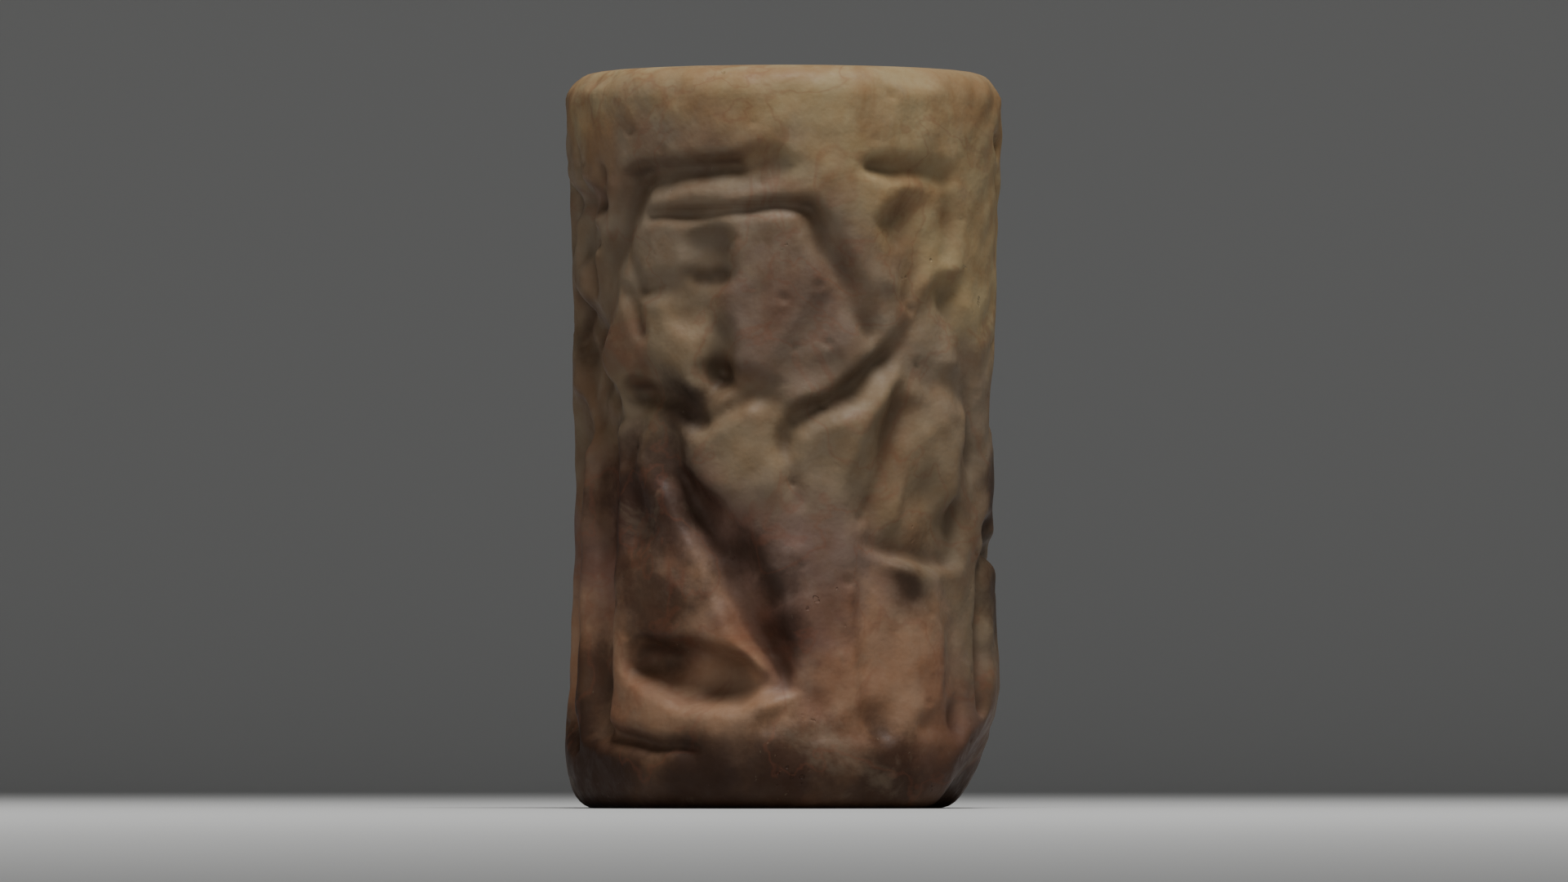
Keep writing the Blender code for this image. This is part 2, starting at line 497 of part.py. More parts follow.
points = seal_surface()
mesh = bpy.data.meshes.new("seal_stone")
mesh.from_pydata(points.reshape(-1, 3).tolist(), [], seal_faces(len(points)))
mesh.materials.append(stone_material())
seal = bpy.data.objects.new("seal_stone", mesh)
bpy.context.scene.collection.objects.link(seal)
bpy.context.view_layer.update()
thin_out(seal)
seal.data.name = "seal_stone"
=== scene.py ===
"""Looks of a stone cylinder seal: its worn skin with the frieze, veined stone, a plain studio.

The skin is one fine mesh. It has the same barrel, bore, chips and frieze as the solid that it
replaces, with the folds, nicks, pits and dents that are too fine for the solid.
"""

import math

import bpy
import numpy as np
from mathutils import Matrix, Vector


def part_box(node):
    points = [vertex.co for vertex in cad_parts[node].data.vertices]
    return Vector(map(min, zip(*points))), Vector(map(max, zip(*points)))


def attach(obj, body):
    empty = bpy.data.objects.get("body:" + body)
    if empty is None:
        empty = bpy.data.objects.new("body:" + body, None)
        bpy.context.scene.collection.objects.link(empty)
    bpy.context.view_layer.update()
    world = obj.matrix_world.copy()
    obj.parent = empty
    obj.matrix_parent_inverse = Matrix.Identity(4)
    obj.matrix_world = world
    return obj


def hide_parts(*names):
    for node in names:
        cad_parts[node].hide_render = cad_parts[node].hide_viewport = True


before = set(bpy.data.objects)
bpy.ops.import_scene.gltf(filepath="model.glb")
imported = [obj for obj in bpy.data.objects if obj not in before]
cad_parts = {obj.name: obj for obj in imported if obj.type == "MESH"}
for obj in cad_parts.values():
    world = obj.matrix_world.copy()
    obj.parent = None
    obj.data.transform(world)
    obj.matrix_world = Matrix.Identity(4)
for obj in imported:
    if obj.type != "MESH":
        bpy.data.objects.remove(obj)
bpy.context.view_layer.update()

MM = 0.001

# Barrel, a little narrower at its waist than at its rims
SEAL_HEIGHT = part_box("seal_stone")[1][2]
RIM_RADIUS = 8.19 * MM
WAIST_RADIUS = 7.93 * MM
RIM_WIDTH = 2.4 * MM
SWELL = 0.05 * MM
DENTS = 0.06 * MM

# Rounded edges, worn further up the side than over the end at the base
TOP_ROUNDING = 1.15 * MM
BASE_ROUNDING = 1.1 * MM
BASE_ROUNDING_HEIGHT = 1.9 * MM

# Bore, drilled from both ends, so that it narrows towards its middle
MOUTH_RADIUS = 2.0 * MM
MOUTH_BEVEL = 0.3 * MM
BORE_RADIUS = 1.7 * MM

# Chips: a large one out of the base's edge and slight ones along both edges. Their own edges
# are worn round, by a share of their depth
LARGE_CHIP_SIZE = 11 * MM
LARGE_CHIP_DEPTH = 1.85 * MM
SMALL_CHIP_SIZE = 6.5 * MM
SMALL_CHIP_DEPTH = 0.28 * MM
CHIP_INSET = 0.3 * MM
CHIP_WEAR = 0.7

# Where the chips lie, as degrees of turn and of lean from the side towards an end
LARGE_CHIP = (-84, -34)
LOW_CHIPS = ((31, -38), (176, -40))
HIGH_CHIPS = ((-38, 42), (262, 38))

# Nicks in both edges, with their sizes and depths in millimetres and their leans in degrees
NICKS = 30
NICKS_AT_TOP = 0.4
NICK_SIZES = (0.7, 2.4)
NICK_DEPTHS = (0.04, 0.11)
NICK_LEANS = (25, 50)
LOW_NICK_HEIGHT = 0.35 * MM
HIGH_NICK_DROP = 0.45 * MM

# Pits in the side, more of them low down, with their reaches in millimetres
PITS = 190
PIT_REACHES = (0.1, 0.27)
PIT_SPREAD = (1.2, 1.6)
PIT_STEEPNESS = 0.38

# Fineness of the skin, how far its edges are worn down and what counts as a full corner
COLUMNS = 400
SIDE_ROWS = 200
ROUNDING_STEPS = 10
FLAT_STEPS = 10
BORE_STEPS = 9
WEAR = 0.16 * MM
CORNER_PASSES = 40
FULL_CORNER = 0.2 * MM

# Stone, as linear colours
CREAM = (0.32, 0.242, 0.13)
TAN = (0.205, 0.155, 0.106)
DRAB = (0.24, 0.172, 0.1)
OLIVE = (0.178, 0.132, 0.084)
MAUVE = (0.152, 0.1, 0.078)
PINK = (0.185, 0.106, 0.08)
CLAY = (0.29, 0.174, 0.104)
UMBER = (0.034, 0.016, 0.009)
RUST = (0.17, 0.055, 0.028)
# Dark of the carving's corners: partly grime, partly painted shade
CORNER_GRIME_AND_SHADE = (0.035, 0.018, 0.011)

# Tones that darken the stone by being multiplied with it: mottle and cloud of the stone itself,
# and painted shade on walls that overhang and, fainter, on sills that face up
MOTTLE = (0.88, 0.76, 0.64)
CLOUD = (0.72, 0.50, 0.42)
LEDGE_SHADE = (0.34, 0.28, 0.25)
SILL_SHADE = (0.62, 0.58, 0.52)

# Layers of the stone, each with the level in millimetres where it is pure. They dip towards
# the right and the back, and wander
SKIN_LAYERS = ((-5, UMBER), (1, CLAY), (6, MAUVE), (11, OLIVE), (19, TAN), (24, CREAM))
CUT_LAYERS = ((-3, CLAY), (6, PINK), (12, OLIVE), (18, TAN), (24, CREAM))
DIP_TO_RIGHT = 0.55
DIP_TO_BACK = 0.25
WIDE_WANDER = 12 * MM
FINE_WANDER = 7 * MM

# Patches, stains and spots of painted shade on the side, as (x, y, z, reach) in millimetres, and
# their uneven edges
MAUVE_SPOTS = ((0.2, -7.8, 17.6, 3.6), (1.8, -7.6, 9.0, 2.6))
CLAY_SPOTS = ((4.2, -6.8, 4.6, 4.0), (-2.6, -7.4, 4.4, 2.4))
DRAB_SPOTS = (
    (-1.2, -7.8, 13.4, 2.4), (4.6, -6.4, 14.0, 3.6), (-3.9, -6.9, 17.4, 2.0),
    (5.0, -6.1, 11.2, 2.4),
)
# Dark spots: partly stains of the stone, partly painted shade along the base's rounded edge, at
# the side's edges and in hollows
STAINS_AND_PAINTED_SHADE = (
    (-5.5, -5.6, 11.2, 3.7), (-4.8, -6.3, 7.4, 2.6), (-1.5, -7.7, 9.5, 1.7),
    (-0.6, -7.8, 8.1, 1.2), (0.1, -7.9, 6.6, 1.3), (-4.2, -6.6, 14.9, 1.5),
    (4.7, -6.3, 8.1, 1.1), (-7.6, -2.6, 4.6, 2.3), (-3.2, -7.3, 0.9, 2.3),
    (0.2, -8.0, 1.2, 2.6), (3.8, -7.0, 0.9, 2.2), (7.9, -0.6, 11.6, 1.9),
    (7.9, -0.6, 7.6, 2.3),
)
SPOT_RAGGEDNESS = 1.6
SPOT_EDGE = (1.15, 0.35)

# Painted shade on the foot, darker towards the base, from where it starts down to where it is
# darkest
FOOT_STARTS = 4.4 * MM
FOOT_DARKEST = 1.0 * MM
FOOT_WANDER = 3 * MM
FOOT_SHADE_SHARE = 0.65

# How dull the stone is
ROUGHNESSES = (0.52, 0.72)
GLOSS = 0.2

# Frieze. Depths are shares of the cut's depth, places hundredths of a figure's height
ROLL_RADIUS = 7.77 * MM
FIGURE_HEIGHT = 23.2 * MM
GROUND_HEIGHT = 2.1 * MM
CUT_DEPTH = 0.95 * MM
UNSTEADY = 0.28
UNEVEN = 0.12
SHALLOW = 0.3
CLOTH_TOP_EDGE = 4
CLOTH_SWELL = 0.25
DEEP_LIMB = {"depth": 1.1, "over": 0.0, "belly": 0.0}

# Paper sweep: its bend starts behind the seal and its wall stands beyond it, in metres
PAPER = (0.5, 0.5, 0.49, 1)
PAPER_ROUGHNESS = 0.9
SWEEP_REACH = 1.2
BEND_STARTS = 0.58
BEND_RADIUS = 0.1
BEND_STEPS = 12
WALL_HEIGHT = 0.9

# Camera and lights, in metres, with the lens in millimetres and powers in watts
EYE = (0, -0.52, 1.2 * MM)
LENS = 320
NEAREST = 0.01
LIGHT_ABOVE = {"place": (0.03, -0.10, 0.32), "size": 0.13, "power": 1.25}
LIGHT_IN_FRONT = {"place": (-0.15, -0.33, 0.12), "size": 0.22, "power": 0.17}
AIR = (0.8, 0.82, 0.85, 1)
AIR_STRENGTH = 0.08


def ramp(share):
    """Rises smoothly from 0 to 1."""
    share = np.clip(share, 0, 1)
    return share * share * (3 - 2 * share)


def waves(turn, height, count, finest, seed):
    """Uneven swell, mostly from -1 to 1, that closes on itself round the seal."""
    chance = np.random.default_rng(seed)
    total = np.zeros_like(turn)
    for _ in range(count):
        around = int(chance.integers(1, finest))
        upward = chance.uniform(-finest, finest) / ROLL_RADIUS
        total += np.sin(around * turn + upward * height + chance.uniform(0, 2 * math.pi))
    return total / math.sqrt(count)


def soften(depth, passes):
    """Wears edges down. The first axis is the height and the second goes round."""
    for _ in range(passes):
        around = np.roll(depth, 1, axis=1) + np.roll(depth, -1, axis=1)
        padded = np.pad(depth, ((1, 1), (0, 0)), mode="edge")
        depth = (depth * 2 + around + padded[:-2] + padded[2:]) / 6
    return depth


class Figure:
    """Cuts one figure. Places are hundredths of its height, from its axis and its ground line."""

    def __init__(self, turn, height, cut, at, breadth):
        unit = FIGURE_HEIGHT / 100
        away = (turn - math.radians(at) + math.pi) % (2 * math.pi) - math.pi
        sideways = waves(turn, height, count=16, finest=26, seed=5)
        upward = waves(turn, height, count=16, finest=26, seed=6)
        self.x = away * ROLL_RADIUS / unit + UNSTEADY * sideways
        self.y = (height - GROUND_HEIGHT) / unit + UNSTEADY * upward
        self.cut = cut
        self.breadth = breadth

    def press(self, shape, depth, over):
        """Cuts a shape to its depth, and deeper by over where the stone is cut already."""
        deeper = over * shape * np.clip(self.cut / SHALLOW, 0, 1)
        self.cut[:] = np.maximum(self.cut, shape * depth) + deeper

    def leave(self, start, end, half, height):
        """Leaves stone standing inside a cut."""
        shape = self.stroke(start, end, half, half, 0, 1, 0)
        self.cut[:] = np.maximum(self.cut - shape * height, 0)

    def stroke(self, start, end, half, half_end, belly, steep, lean):
        """A gouge from start to end: 1 along its floor, 0 from its edge outwards.

        Lean widens the side to the left of the way it runs and steepens the other side.
        """
        (x0, y0), (x1, y1) = start, end
        dx, dy = x1 - x0, y1 - y0
        away_x, away_y = self.x - x0, self.y - y0
        share = np.clip((away_x * dx + away_y * dy) / (dx * dx + dy * dy), 0, 1)
        off = np.hypot(away_x - share * dx, away_y - share * dy)
        width = half + (half_end - half) * share + belly * half * np.sin(share * math.pi)
        width = width * self.breadth
        if lean:
            width = width * (1 + lean * np.sign(dx * away_y - dy * away_x))
        return np.maximum(1 - (off / width) ** 2, 0) ** steep

    def path(
        self, points, half, half_end=None, *, depth, over=0.15, belly=0.15, steep=1.0, lean=0
    ):
        """A limb or a stick, bent at each of the points between its ends."""
        half_end = half if half_end is None else half_end
        widths = np.linspace(half, half_end, len(points))
        shape = np.zeros_like(self.x)
        for i in range(len(points) - 1):
            one = self.stroke(
                points[i], points[i + 1], widths[i], widths[i + 1], belly, steep, lean
            )
            shape = np.maximum(shape, one)
        self.press(shape, depth, over)

    def oval(self, x, y, half_width, half_height, depth, over=0.1, steep=0.8):
        """An oval hollow, deepest at its middle."""
        share = np.hypot((self.x - x) / half_width, (self.y - y) / half_height)
        self.press(np.maximum(1 - share * share, 0) ** steep, depth, over)

    def cloth(
        self, top, bottom, half_top, half_bottom, depth, depth_end, side=3.0, hem=1.4, slant=0
    ):
        """A garment hanging from top to bottom, cut deeper towards its hem, which may slant."""
        (x0, y0), (x1, y1) = top, bottom
        length = math.hypot(x1 - x0, y1 - y0)
        ux, uy = (x1 - x0) / length, (y1 - y0) / length
        sideways = (self.x - x0) * uy - (self.y - y0) * ux
        down = (self.x - x0) * ux + (self.y - y0) * uy + slant * sideways
        off = np.abs(sideways)
        share = np.clip(down / length, 0, 1)
        half = half_top + (half_bottom - half_top) * share
        shape = ramp((half - off) / side) * ramp((length - down) / hem)
        shape = shape * ramp(down / CLOTH_TOP_EDGE + 0.5)
        swell = 1 - CLOTH_SWELL * np.minimum(off / half, 1) ** 2
        self.press(shape * swell, depth + (depth_end - depth) * share, 0)

    def fold(self, start, end, half, sink):
        """A fine fold inside a garment, cut deeper, or left standing where sink is negative."""
        shape = self.stroke(start, end, half, half, 0, 1, 0)
        self.cut += shape * sink * np.clip(self.cut / SHALLOW, 0, 1)


def horned_crown(f, band, tips, spike):
    """A god's crown: a band turned up into a horn at each end, with a spike in its middle."""
    f.path(spike, 2.0, 1.2, depth=0.42)
    for end, tip in zip(band, tips):
        f.path([end, tip], 1.9, 1.1, depth=0.42)
    f.path(band, 2.4, depth=0.56, belly=0.1)


def mace_bearer(f):
    """The bearded man in a flat cap and a kilt, who seizes the kneeling god."""
    f.path([(-8.0, 28), (-8.6, 17), (-8.2, 5.0)], 4.2, 3.4, depth=0.42)
    f.path([(7.8, 28), (7.2, 17), (7.6, 4.5)], 4.4, 3.8, depth=0.46, steep=0.6)
    f.path([(-8.0, 5.6), (-0.6, 4.2)], 3.2, 2.4, depth=0.26)
    f.path([(10.9, 34.0), (11.2, 24.0), (10.8, 13.0)], 1.5, 1.1, depth=0.28, over=0.16)
    f.path([(4.2, 27.4), (1.6, 24.4)], 2.2, 1.4, depth=0.3, over=0.1)
    f.path([(8.6, 4.6), (18.6, 3.0)], 3.4, 2.4, depth=0.18)
    f.cloth((-0.6, 74), (-2.0, 52), 10.2, 6.6, 0.32, 0.5, side=5.0)
    f.cloth((-0.4, 58), (0.0, 28.6), 5.6, 12.8, 0.46, 0.95, side=3.4, hem=2.8, slant=-0.11)
    f.path([(1.6, 54.5), (8.0, 39.5)], 4.6, 5.6, depth=0.72, over=0.2, lean=0.2)
    f.path([(-9.8, 38.0), (-10.2, 31.6)], 3.0, depth=0.62)
    f.leave((-3.4, 50.5), (-8.0, 38.5), 1.9, 0.22)
    f.leave((0.5, 49.0), (3.0, 37.0), 1.4, 0.1)
    f.oval(-0.4, 82.0, 9.4, 9.6, 0.42, 0.0, 0.9)
    f.oval(2.8, 83.4, 5.6, 6.4, 0.56, 0.1)
    f.oval(6.4, 83.8, 2.4, 2.4, 0.42, 0.06)
    f.leave((4.6, 87.4), (5.4, 86.8), 1.0, 0.22)
    f.path([(-5.6, 88.0), (-6.0, 79.0)], 2.6, 2.2, depth=0.42, over=0.0)
    f.path([(0.6, 80.4), (1.6, 72.0)], 3.8, 2.8, depth=0.52, over=0.08)
    f.path([(9.6, 92.6), (2.8, 92.6), (-5.0, 91.0)], 2.2, 3.2, depth=0.48, over=0.05, steep=1.7)
    f.path([(-7.0, 71.5), (-11.6, 63.0), (-14.2, 54.5), (-15.4, 46.0)], 3.6, 2.6, depth=0.44)
    f.path([(-13.0, 56.5), (-6.0, 59.0), (1.0, 60.0)], 3.2, 2.8, depth=0.4)
    f.path([(19.8, 86.6), (14.0, 76.4)], 1.9, 3.7, depth=0.52, over=0.05, steep=1.4, lean=0.1)
    f.path([(14.0, 76.4), (8.6, 66.6)], 3.7, 3.3, depth=0.5, over=0.0, steep=1.6, lean=0.1)
    f.leave((17.6, 67.8), (14.6, 63.6), 3.6, 0.16)
    f.path([(46.6, 85.2), (34.0, 85.8), (19.8, 86.9)], 1.1, 1.4, depth=0.44, belly=0.0, lean=0.2)
    f.path([(-6.2, 73.6), (4.7, 63.8)], 4.6, 3.8, depth=0.5, over=0.08, belly=0.0, lean=-0.2)
    f.path(
        [(5.4, 63.4), (10.5, 59.6), (15.8, 56.1), (22.0, 53.0)],
        4.0, 3.2, depth=0.74, over=0.05, belly=0.0, steep=1.35, lean=-0.4,
    )


def kneeling_god(f):
    """The god who is beaten down: one knee on the ground, one arm raised."""
    f.path([(-20.4, 46.0), (-21.0, 30.0), (-20.0, 8.5)], 5.6, 4.6, depth=0.3, steep=0.8)
    f.path([(-19.0, 7.6), (-12.6, 4.6)], 3.2, 2.4, depth=0.22)
    f.path([(-3.0, 37.0), (-16.0, 36.0)], 4.2, 5.0, depth=0.3)
    f.path([(8.6, 57.0), (7.0, 50.0), (5.6, 45.0)], 6.2, 3.6, depth=0.62, belly=0.05)
    f.path([(13.6, 42.4), (11.4, 35.0)], 3.2, 4.2, depth=0.42, over=0.0, steep=1.4)
    f.path([(4.6, 42.6), (1.0, 37.7), (-3.7, 31.5)], 2.9, 5.1, **DEEP_LIMB, lean=-0.35)
    f.path([(-3.7, 31.5), (-8.4, 21.2)], 5.1, 4.9, **DEEP_LIMB, lean=-0.35)
    f.path([(-8.4, 21.2), (-13.8, 12.6)], 4.9, 2.8, **DEEP_LIMB, lean=-0.3)
    f.path([(9.9, 14.4), (1.2, 12.2)], 4.0, 6.2, **DEEP_LIMB, steep=0.75)
    f.path([(1.2, 12.2), (-6.5, 10.8)], 6.2, 4.8, **DEEP_LIMB, steep=0.75)
    f.path([(-6.5, 10.8), (-15.8, 10.4)], 4.8, 1.6, depth=0.7, over=0.0, belly=0.0)
    f.path([(13.4, 56.8), (5.6, 56.4), (0.2, 52.6)], 3.0, 2.8, depth=0.84, over=0.0, steep=0.9)
    f.path([(0.2, 52.4), (-2.6, 58.4)], 1.7, 2.6, depth=0.66, over=0.0)
    f.path([(-0.2, 52.0), (-3.9, 53.6), (-7.4, 56.4)], 1.7, 2.0, depth=0.5, over=0.0)
    f.oval(-3.0, 59.8, 4.0, 4.0, 1.0, 0.06)
    f.path([(12.2, 56.0), (14.4, 46.6)], 3.2, 2.6, depth=0.5)
    arm = [(-3.0, 58.4), (-7.8, 58.8), (-12.8, 55.4), (-14.6, 48.7)]
    f.path(arm, 3.1, 2.8, depth=0.5, steep=1.3)
    f.path([(-14.6, 48.7), (-16.3, 39.7)], 2.8, 2.4, depth=0.4, steep=1.3)
    f.path([(-14.0, 58.4), (-20.2, 70.6)], 3.9, 3.0, depth=0.3, lean=0.2)
    f.oval(-20.0, 60.6, 4.4, 4.2, 0.34)
    f.oval(0.0, 70.2, 5.4, 5.0, 0.58)
    f.path([(-3.6, 67.0), (-3.0, 61.0)], 3.4, 3.0, depth=0.6)
    f.path([(13.8, 73.6), (10.8, 67.0)], 1.5, 1.3, depth=0.36)
    f.path([(0.6, 74.2), (11.0, 73.2)], 2.3, 2.0, depth=0.3)
    f.path([(11.0, 73.6), (12.4, 77.4)], 1.9, 1.2, depth=0.3)
    f.path([(-2.3, 76.8), (-2.2, 79.8)], 4.4, 4.2, depth=0.6, belly=0.0, steep=0.5)
    f.path([(-3.6, 75.2), (0.6, 75.0)], 2.2, 2.2, depth=0.74, over=0.05, lean=0.2)


def smiting_god(f):
    """The standing god who swings an arm above the kneeling one."""
    f.path([(5.8, 52), (6.2, 30), (5.4, 5.5)], 4.6, 3.2, depth=0.55, steep=0.7)
    f.oval(7.2, 50.0, 6.0, 8.8, 0.74, 0.05, 0.9)
    f.oval(6.8, 26.6, 4.6, 6.4, 0.66, 0.08, 0.9)
    f.oval(6.2, 11.5, 4.0, 6.2, 0.6, 0.08, 0.9)
    f.path([(-4.2, 52), (-4.8, 28), (-5.6, 5.0)], 4.6, 3.2, depth=0.78, over=0.05, steep=0.55)
    f.leave((1.6, 47.5), (2.0, 7.0), 1.6, 0.42)
    f.path([(-5.8, 3.4), (-17.0, 2.0), (-27.0, 0.6)], 1.5, 1.0, depth=0.5, lean=0.2)
    f.path([(6.0, 4.4), (1.0, 1.6)], 2.4, 1.6, depth=0.45)
    f.cloth((3.4, 71.5), (-1.2, 51), 8.0, 5.2, 0.62, 0.7, side=3.2)
    f.path([(-2.4, 66.4), (9.6, 71.6)], 3.2, 3.0, depth=0.82, over=0.08)
    f.path([(9.4, 69.0), (2.0, 62.6), (-7.4, 57.0)], 3.4, 2.3, depth=0.78, over=0.1)
    f.path([(-8.4, 55.8), (-10.4, 53.2)], 2.2, 1.5, depth=0.5)
    f.path([(-2.2, 66.0), (-15.4, 90.4)], 3.4, 2.9, depth=0.64, steep=1.2, lean=0.3)
    f.path([(-15.6, 92.2), (-33.6, 93.0)], 2.5, 2.5, depth=0.64, belly=0.1, steep=1.4, lean=0.3)
    f.path([(-34.0, 92.4), (-40.6, 93.4)], 2.9, 2.7, depth=0.36, over=0.0, lean=0.2)
    f.oval(0.2, 82.6, 4.8, 5.8, 0.6)
    f.path([(-3.8, 82.0), (-5.4, 81.0)], 1.6, 1.0, depth=0.45)
    f.oval(8.8, 83.6, 3.2, 4.2, 0.55)
    f.path([(-1.4, 79.4), (-2.2, 73.8)], 2.6, 1.6, depth=0.56)
    horned_crown(
        f,
        band=[(-6.4, 88.0), (8.0, 88.0)],
        tips=[(-7.4, 93.0), (10.2, 92.8)],
        spike=[(1.0, 88.6), (1.2, 95.4)],
    )


def attendant(f):
    """The robed figure who stands before the throne, a cup and a sprig in the raised hand."""
    f.path([(-6.4, 13.5), (-7.6, 3.0)], 2.1, depth=0.48)
    f.path([(4.0, 13.5), (6.2, 3.0)], 2.2, depth=0.48)
    f.path([(-7.4, 2.4), (-2.4, 0.8)], 1.9, 1.3, depth=0.42)
    f.path([(1.6, 0.2), (13.6, 1.0)], 2.1, 1.5, depth=0.52)
    f.cloth((0.6, 73.0), (0.4, 55), 7.2, 5.6, 0.6, 0.76)
    f.cloth((0.6, 58), (-0.4, 14.2), 6.2, 10.6, 0.74, 0.92, side=3.6, hem=1.3)
    f.path([(-12.2, 15.2), (-1.0, 14.2), (10.2, 15.4)], 2.1, depth=0.62, over=0.12)
    f.fold((8.6, 50.0), (10.0, 17.5), 1.6, 0.1)
    f.fold((1.4, 54.0), (4.6, 24.0), 1.6, 0.1)
    f.fold((-3.6, 50.0), (-6.0, 20.0), 1.6, 0.1)
    f.path([(-11.0, 52.8), (-5.2, 48.6)], 1.7, 1.2, depth=0.46)
    f.path([(7.2, 72.0), (15.0, 57.0)], 3.2, 2.5, depth=0.78, steep=0.7)
    f.path([(15.4, 56.8), (20.2, 70.6)], 1.7, 1.2, depth=0.42)
    f.oval(19.6, 74.4, 2.2, 2.2, 0.42)
    f.path([(20.4, 75.8), (23.2, 80.4)], 1.0, 0.7, depth=0.3)
    f.path([(19.4, 76.4), (18.8, 81.0)], 1.0, 0.7, depth=0.3)
    f.path([(-5.8, 71.8), (-8.6, 60.8), (1.8, 62.4)], 3.0, 2.3, depth=0.8, steep=0.7)
    f.leave((-0.8, 66.8), (2.4, 65.2), 2.3, 0.6)
    f.oval(-0.4, 82.4, 4.6, 5.8, 0.6)
    f.path([(-4.4, 80.6), (-8.0, 80.4), (-11.0, 84.0)], 2.2, 1.5, depth=0.55)
    f.path([(3.4, 80.8), (5.8, 81.4), (7.4, 85.0)], 2.0, 1.4, depth=0.5)
    f.path([(0.0, 80.0), (0.2, 73.4)], 2.8, 1.7, depth=0.56)
    horned_crown(
        f,
        band=[(-7.0, 88.2), (7.8, 88.2)],
        tips=[(-8.0, 95.0), (9.2, 96.0)],
        spike=[(0.6, 88.8), (0.6, 96.4)],
    )


def throne(f):
    """The seated god's stool: a sagging seat on slender legs, with a broad post behind."""
    f.path([(27.0, 46.0), (27.8, 28.0), (28.2, 9.0)], 4.2, 4.6, depth=0.32, steep=0.8)
    f.path([(16.6, 35.8), (22.0, 29.6), (23.8, 19.0), (24.6, 7.0)], 2.1, 1.8, depth=0.48)
    f.path([(-17.8, 25.6), (-15.4, 12.0), (-13.0, 2.0)], 2.0, 1.7, depth=0.48)
    f.path([(-0.8, 20.4), (-0.4, 8.2)], 1.7, depth=0.34)
    f.path([(4.6, 24.4), (6.0, 15.0), (7.4, 8.0)], 1.9, 1.6, depth=0.44)
    seat = [(-21.4, 28.0), (-13.0, 25.8), (-5.0, 25.2), (5.0, 27.2), (19.6, 35.0)]
    f.path(seat, 2.6, 2.2, depth=0.7, steep=0.7, belly=0.0)


def flounces(f):
    """The robe's folds: on lap and thigh, below the knee, on the sleeve and at the waist."""
    for i in range(7):
        f.fold((-36.0 + 4.6 * i, 41.6), (-32.6 + 4.6 * i, 48.8), 1.3, 0.14)
    for i in range(13):
        f.fold((-34.0 + 3.0 * i, 37.6), (-33.6 + 3.0 * i, 32.8), 0.9, -0.12)
    f.fold((-36.0, 39.4), (6.0, 39.6), 0.9, -0.14)
    for i in range(7):
        f.fold((-44.2 + 2.9 * i, 26.4), (-45.4 + 3.1 * i, 15.0), 0.9, -0.13)
    f.fold((-45.0, 28.4), (-28.6, 28.8), 0.8, -0.16)
    for i in range(4):
        f.fold((2.4 + 2.2 * i, 68.6 - 0.8 * i), (9.4 + 2.4 * i, 54.6 + 0.9 * i), 0.9, -0.12)
    for i in range(4):
        f.fold((-7.0 + 4.2 * i, 54.0), (-7.6 + 4.6 * i, 44.0), 1.1, -0.12)


def seated_god(f):
    """The enthroned god in a flounced robe, who holds out a long weapon."""
    throne(f)
    f.path([(-42.8, 11.0), (-42.4, 3.6)], 2.2, depth=0.5)
    f.path([(-30.8, 11.0), (-30.5, 2.4)], 2.2, depth=0.5)
    f.path([(-41.8, 1.6), (-51.6, -1.6)], 2.2, 1.5, depth=0.5)
    f.path([(-29.0, 0.8), (-37.6, -2.2)], 2.2, 1.5, depth=0.5)
    f.cloth((-35.6, 40.0), (-36.6, 12.2), 8.4, 11.2, 0.78, 0.96, side=2.6, hem=1.3)
    f.path([(-46.6, 12.8), (-26.0, 12.8)], 2.1, depth=0.7, over=0.1)
    thigh = [(3.0, 41.5), (-14.0, 42.0), (-34.0, 41.6)]
    f.path(thigh, 8.6, 7.6, depth=1.0, over=0.0, belly=0.0, steep=0.55)
    f.oval(-36.4, 39.0, 7.6, 8.0, 0.92, 0.0, 0.55)
    f.cloth((-0.8, 72.5), (0.4, 40.0), 6.4, 10.0, 0.84, 0.92, side=3.4, hem=4.0)
    f.path([(4.2, 69.2), (14.0, 54.2)], 5.0, 4.0, depth=1.0, over=0.05, steep=0.7)
    f.path([(-3.6, 68.2), (-14.0, 61.0), (-22.6, 57.0)], 3.6, 2.5, depth=0.78, steep=0.7)
    weapon = [(-48.8, 96.4), (-36.6, 80.8), (-30.6, 76.4), (-22.9, 56.6)]
    f.path(weapon, 1.5, 1.8, depth=0.52, belly=0.0)
    f.oval(-2.0, 81.4, 4.8, 5.8, 0.62)
    f.path([(-5.8, 83.8), (-0.6, 83.8)], 1.0, depth=0.5)
    f.path([(-5.8, 80.8), (-0.6, 80.6)], 1.0, depth=0.5)
    f.oval(7.6, 81.4, 3.0, 4.6, 0.56)
    f.path([(-2.6, 78.0), (-1.4, 71.6)], 2.8, 2.0, depth=0.6)
    horned_crown(
        f,
        band=[(-8.6, 86.8), (7.6, 87.0)],
        tips=[(-9.4, 94.2), (8.8, 94.6)],
        spike=[(-0.2, 87.4), (-0.2, 99.4)],
    )
    flounces(f)


def staff(f):
    """The thin staff with a flower at its top, behind the throne."""
    f.path([(0.6, 93.0), (-3.6, 80.0), (-7.3, 66.8)], 0.9, 0.7, depth=0.26)
    f.oval(0.8, 96.6, 2.6, 1.8, 0.36)
    f.path([(-1.6, 97.6), (3.6, 98.2)], 1.0, depth=0.3)


def star(f):
    """The star before the enthroned god's face."""
    f.oval(0.0, 95.2, 1.7, 1.8, 0.45)
    f.path([(-2.8, 95.4), (2.8, 95.2)], 1.0, depth=0.38)
    f.path([(0.4, 98.2), (-0.6, 92.0), (-2.2, 86.0)], 1.0, 0.6, depth=0.28)


